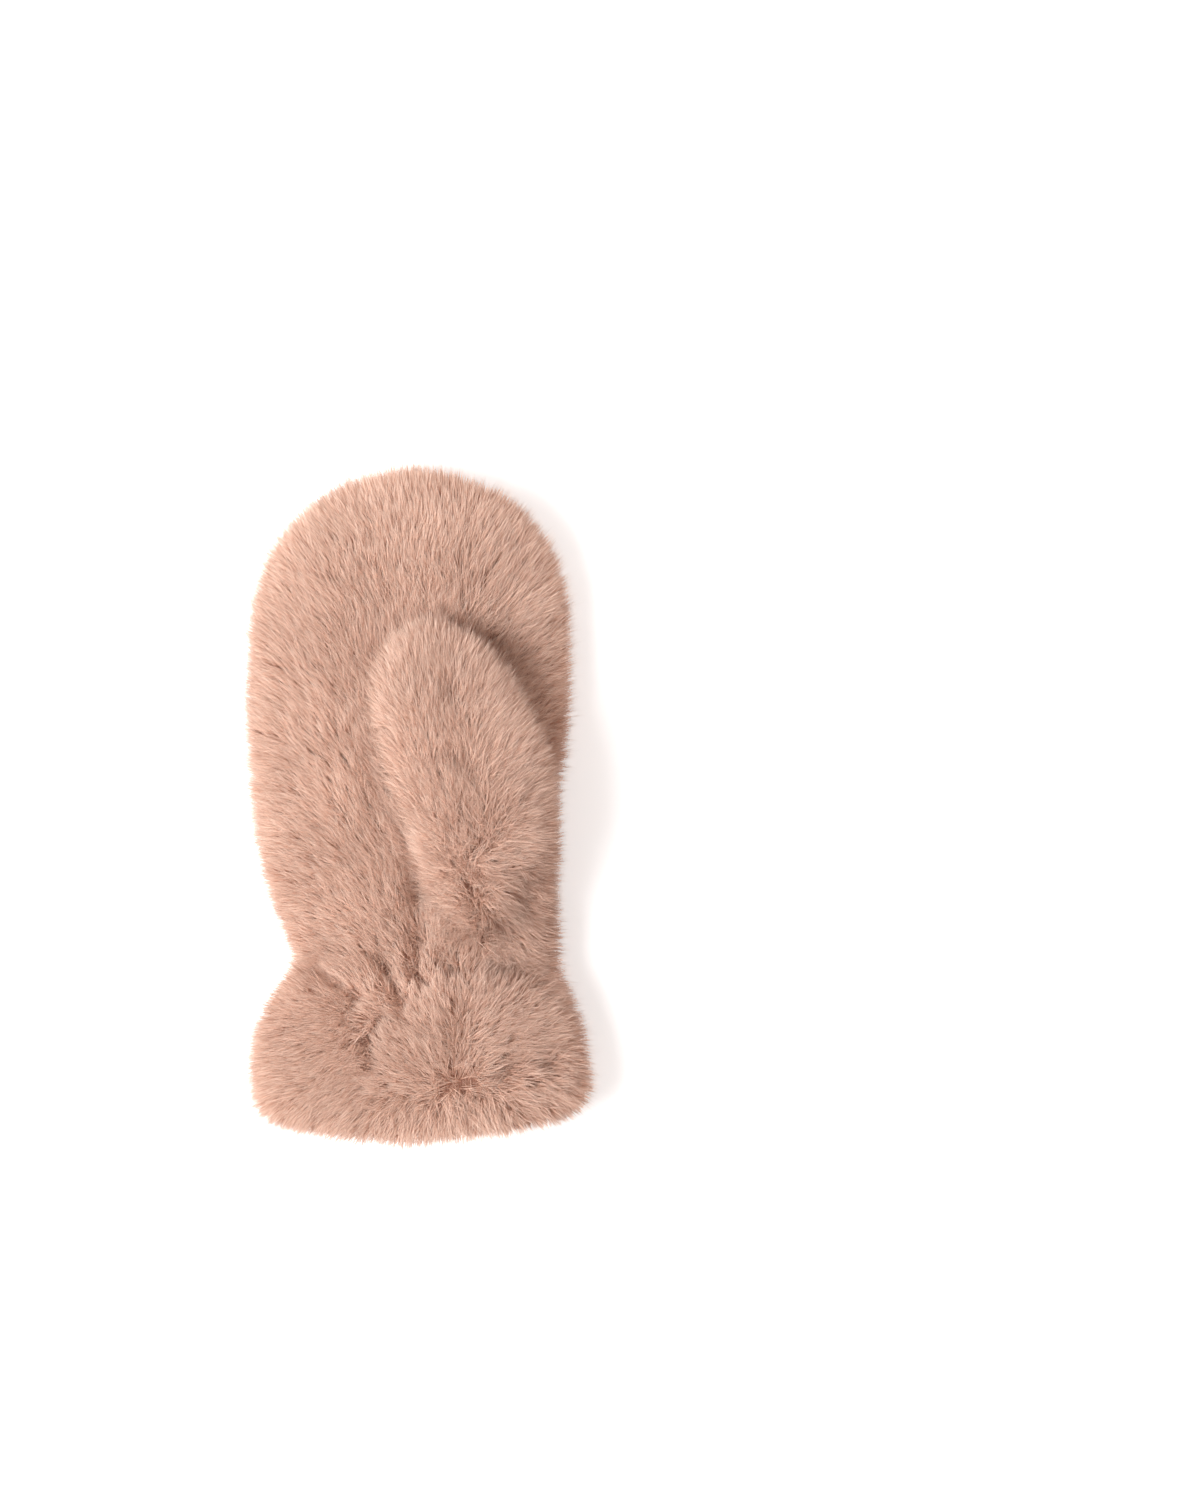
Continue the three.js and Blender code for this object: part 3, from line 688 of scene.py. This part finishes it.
def pile(name, roots, normals, lying, order, short, strands_each, material):
    """The strands of a piece as narrow kites bent in the middle, drawn together in wisps.

    The map holds each strand's tone in u, painted light and shade included, and the way along it, from root to
    tip, in v.
    """
    calm = patches(roots, "calm")
    wisp_turn, wisp_lean, wisp_length, wisp_tone_and_painted_light = wisp_traits(roots, order, short, calm)
    wisp = np.repeat(np.arange(len(roots)), strands_each)
    strands = len(wisp)

    normal = normals[wisp]
    first, second = frames_on(normals)
    place = in_disc(strands, WISP_SPREAD)
    offset = first[wisp] * place[:, :1] + second[wisp] * place[:, 1:]
    lay = np.linalg.norm(lying, axis=1)[wisp]
    way = turned(unit(lying)[wisp], normal, wisp_turn[wisp] + CHANCE.normal(0, STRAND_TURN, strands))
    facing = np.clip((way * normal).sum(1), 0, 1)
    stray = (CHANCE.random(strands) < STRAY_SHARE) * CHANCE.random(strands)
    length = wisp_length[wisp] * CHANCE.uniform(*STRAND_LENGTHS, strands) * (1 + STRAY_LENGTH * stray)
    length *= 1 - facing * CHANCE.uniform(*FACING_CUT, strands)
    lean = wisp_lean[wisp] + CHANCE.normal(0, STRAND_LEAN, strands) - STRAY_LIFT * stray

    def heading(angle):
        angle = (angle * lay + lean)[:, None]
        return unit(way * np.sin(angle) + normal * np.cos(angle))

    root = roots[wisp] + offset
    bend = roots[wisp] + offset * BEND_SPREAD + heading(ROOT_LEAN) * (BEND * length)[:, None]
    onward = heading(ROOT_LEAN) * BEND + heading(TIP_LEAN) * (1 - BEND)
    tip_spread = TIP_SPREAD + (1 - TIP_SPREAD) * calm
    tip = roots[wisp] + offset * tip_spread[wisp][:, None] + onward * length[:, None]
    for places, height in ((bend, BEND_HEIGHT), (tip, TIP_HEIGHT)):
        places[:, 2] = np.maximum(places[:, 2], height)

    roll = CHANCE.normal(0, STRAND_ROLL, strands)
    thickness = CHANCE.uniform(*STRAND_WIDTHS, strands) * (1 - STRAY_THINNESS * stray)
    width = STRAND_WIDTH * thickness[:, None] / 2
    along = unit(tip - root)
    side = turned(unit(np.cross(along, normal)), along, roll) * width
    corners = np.stack([root, bend - side, bend + side, tip], axis=1)
    kite = np.array([[0, 2, 1], [1, 2, 3]])
    triangles = (np.arange(strands)[:, None, None] * 4 + kite).reshape(-1, 3)

    # u: each strand's tone by chance plus its wisp's tone, which holds painted light and shade
    tone = np.clip(0.5 + wisp_tone_and_painted_light[wisp] + CHANCE.normal(0, STRAND_TONE, strands), *TONES)
    uv = np.empty((strands, 4, 2))
    uv[:, :, 0] = tone[:, None] + np.array([0, -1, 1, 0]) * MAP_WIDTH
    uv[:, :, 1] = MAP_ALONG
    return add_mesh(name, corners.reshape(-1, 3), triangles, material, uv.reshape(-1, 2))


def nodes_of(material):
    """The node tree of a material, emptied but for its shader and output, and the shader."""
    material.use_nodes = True
    tree = material.node_tree
    tree.nodes.clear()
    output = tree.nodes.new("ShaderNodeOutputMaterial")
    shader = tree.nodes.new("ShaderNodeBsdfPrincipled")
    tree.links.new(shader.outputs["BSDF"], output.inputs["Surface"])
    return tree, shader


def fur_material(name):
    """Pile whose colour goes from a darker root to a pale tip, each strand a little lighter or darker, by
    chance and by painted light and shade.
    """
    material = bpy.data.materials.new(name)
    tree, shader = nodes_of(material)
    place = tree.nodes.new("ShaderNodeUVMap")
    place.uv_map = "OFBake"
    split = tree.nodes.new("ShaderNodeSeparateXYZ")
    tree.links.new(place.outputs["UV"], split.inputs["Vector"])
    along = tree.nodes.new("ShaderNodeValToRGB")
    along.color_ramp.elements[0].position = 0.05
    along.color_ramp.elements[0].color = linear(ROOT_COLOUR)
    along.color_ramp.elements[1].position = 0.85
    along.color_ramp.elements[1].color = linear(TIP_COLOUR)
    middle = along.color_ramp.elements.new(0.45)
    middle.color = linear(MIDDLE_COLOUR)
    tree.links.new(split.outputs["Y"], along.inputs["Fac"])
    # The dark and pale strands mix by u, which holds tone by chance and painted light and shade
    tone = tree.nodes.new("ShaderNodeMix")
    tone.data_type = "VECTOR"
    tone.inputs["A"].default_value = DARK_STRANDS
    tone.inputs["B"].default_value = PALE_STRANDS
    tree.links.new(split.outputs["X"], tone.inputs["Factor"])
    shaded = tree.nodes.new("ShaderNodeVectorMath")
    shaded.operation = "MULTIPLY"
    tree.links.new(along.outputs["Color"], shaded.inputs[0])
    tree.links.new(tone.outputs["Result"], shaded.inputs[1])
    tree.links.new(shaded.outputs["Vector"], shader.inputs["Base Color"])
    shader.inputs["Roughness"].default_value = 0.62
    shader.inputs["Specular IOR Level"].default_value = 0.25
    shader.inputs["Sheen Weight"].default_value = 0.1
    shader.inputs["Sheen Roughness"].default_value = 0.4
    return material


def backing_material(name):
    """Knitted cloth, rosier than the pile, with fine ribs along the hand."""
    material = bpy.data.materials.new(name)
    tree, shader = nodes_of(material)
    place = tree.nodes.new("ShaderNodeTexCoord")
    ribs = tree.nodes.new("ShaderNodeTexWave")
    ribs.inputs["Scale"].default_value = 320
    ribs.inputs["Distortion"].default_value = 1.5
    tree.links.new(place.outputs["Object"], ribs.inputs["Vector"])
    shades = tree.nodes.new("ShaderNodeTexNoise")
    shades.inputs["Scale"].default_value = 140
    tree.links.new(place.outputs["Object"], shades.inputs["Vector"])
    colour = tree.nodes.new("ShaderNodeValToRGB")
    colour.color_ramp.elements[0].color = linear([c * 0.86 for c in LINING_COLOUR])
    colour.color_ramp.elements[1].color = linear(LINING_COLOUR)
    tree.links.new(shades.outputs["Fac"], colour.inputs["Fac"])
    tree.links.new(colour.outputs["Color"], shader.inputs["Base Color"])
    bump = tree.nodes.new("ShaderNodeBump")
    bump.inputs["Strength"].default_value = 0.4
    bump.inputs["Distance"].default_value = 0.0006
    tree.links.new(ribs.outputs["Fac"], bump.inputs["Height"])
    tree.links.new(bump.outputs["Normal"], shader.inputs["Normal"])
    shader.inputs["Roughness"].default_value = 0.9
    return material


def sunk_skin(points, polygons):
    """Surfaces without their tufts, with the outer face as deep below their tips as the pile's roots."""
    points, triangles = regridded(points, polygons, SKIN_GRID, SKIN_SMOOTHING)
    normals = normals_of(points, triangles)
    outside = outside_share(points, normals, triangles)
    thin = np.clip(FULL_WALL - wall_under(points, normals, triangles, FULL_WALL), 0, MOST_FILL)
    points = points + normals * ((1 - outside) * spread_out(thin, triangles, EVENING_ROUNDS))[:, None]
    return sunk(points, normals, triangles, outside * PILE_DEPTH), triangles


def backing():
    """The mitten's cloth as one closed grid, with its folds: points, triangles, normals and outside shares."""
    hand, hand_triangles = sunk_skin(*hand_faces())
    thumb, thumb_triangles = sunk_skin(*faces_of(["thumb_stall"]))
    both = np.concatenate([hand, thumb])
    faces = np.concatenate([hand_triangles, thumb_triangles + len(hand)])
    points, triangles = regridded(both, faces.tolist(), JOINED_GRID, JOINED_SMOOTHING)
    normals = normals_of(points, triangles)
    outside = outside_share(points, normals, triangles)
    depth, _, _ = fold_effects(points, normals)
    points = sunk(points, normals, triangles, outside * depth)
    x, y = plan_shares(points).T
    points[:, 1] += HEM_RISE * np.clip(HEM_SHARE - y, 0, 1) / (1 + HEM_SHARE)
    tuck = np.clip(x - TUCK_FROM, 0, TUCK_WIDTH) / TUCK_WIDTH
    points[:, 0] -= SIDE_TUCK * tuck * np.exp(-(((y - TUCK_SHARE) / TUCK_REACH) ** 2))
    points[:, 2] = np.maximum(points[:, 2], CLOTH_HEIGHT)
    return points, triangles, normals_of(points, triangles), outside


def have_room(tree, roots, normals):
    """Whether the cloth leaves each root the room that the pile needs above it."""
    starts = roots + ROOM_START * normals
    return np.array(
        [tree.ray_cast(Vector(p), Vector(n), PILE_ROOM)[0] is None for p, n in zip(starts, normals)]
    )


def make_mitten():
    """The backing and the pile of each piece, in place of the CAD node."""
    points, triangles, normals, outside = backing()
    piece_of = nearest_pieces(points[triangles].mean(1))
    tree = BVHTree.FromPolygons(points.tolist(), triangles.tolist())
    for piece, (name, facts) in enumerate(PIECES.items()):
        own = triangles[piece_of == piece]
        used, renumbered = np.unique(own, return_inverse=True)
        cloth_triangles = renumbered.reshape(-1, 3)
        cloth_material = backing_material(name + "_cloth")
        cloth = add_mesh(name + "_backing", points[used], cloth_triangles, cloth_material, smooth=True)
        furred = own[outside[own].mean(1) > 0.5]
        roots, root_normals = scattered(points, normals, furred, facts["strands"] // WISP_STRANDS)
        roomy = have_room(tree, roots, root_normals)
        roots, root_normals = roots[roomy], root_normals[roomy]
        strands_each = facts["strands"] // len(roots)
        lying, order, short = combing(roots, root_normals, name)
        pile_material = fur_material(name + "_fur")
        fur = pile(name + "_fur", roots, root_normals, lying, order, short, strands_each, pile_material)
        for made in (cloth, fur):
            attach(made, "root")
            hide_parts(name)


def add_lamp(facts):
    """A square lamp that points at the mitten."""
    light = bpy.data.lights.new(facts["name"], "AREA")
    light.size = facts["size"]
    light.energy = facts["power"]
    lamp = bpy.data.objects.new(facts["name"], light)
    lamp.location = facts["place"]
    lamp.rotation_euler = (Vector(LAMP_TARGET) - Vector(facts["place"])).to_track_quat("-Z", "Y").to_euler()
    bpy.context.scene.collection.objects.link(lamp)


def add_floor():
    """A floor of pale paper."""
    corners = [(x * FLOOR_REACH, y * FLOOR_REACH, 0) for x, y in ((-1, -1), (1, -1), (1, 1), (-1, 1))]
    floor_mesh = bpy.data.meshes.new("floor")
    floor_mesh.from_pydata(corners, [], [(0, 1, 2, 3)])
    floor = bpy.data.objects.new("floor", floor_mesh)
    bpy.context.scene.collection.objects.link(floor)
    paper = bpy.data.materials.new("paper")
    _, shader = nodes_of(paper)
    shader.inputs["Base Color"].default_value = (0.9, 0.9, 0.9, 1)
    shader.inputs["Roughness"].default_value = 0.9
    shader.inputs["Emission Color"].default_value = (1, 1, 1, 1)
    shader.inputs["Emission Strength"].default_value = FLOOR_GLOW
    floor_mesh.materials.append(paper)


def add_camera():
    """A camera that looks straight down and has the photo's scale at the mitten's middle height."""
    film = bpy.data.cameras.new("camera")
    camera = bpy.data.objects.new("camera", film)
    camera.location = CAMERA_PLACE
    film.sensor_width = FILM
    film.lens = FILM * (CAMERA_PLACE[2] - MIDDLE_HEIGHT) / (PHOTO_ROWS * METRES_PER_PIXEL)
    bpy.context.scene.collection.objects.link(camera)
    bpy.context.scene.camera = camera


def make_studio():
    """A pale floor, a soft light that comes mostly from the left, and the camera."""
    add_floor()
    for facts in LAMPS:
        add_lamp(facts)
    world = bpy.data.worlds.new("studio")
    world.use_nodes = True
    background = world.node_tree.nodes["Background"]
    background.inputs["Color"].default_value = ROUND_LIGHT
    background.inputs["Strength"].default_value = ROUND_STRENGTH
    bpy.context.scene.world = world
    bpy.context.scene.view_settings.view_transform = "Standard"
    add_camera()


make_mitten()
make_studio()
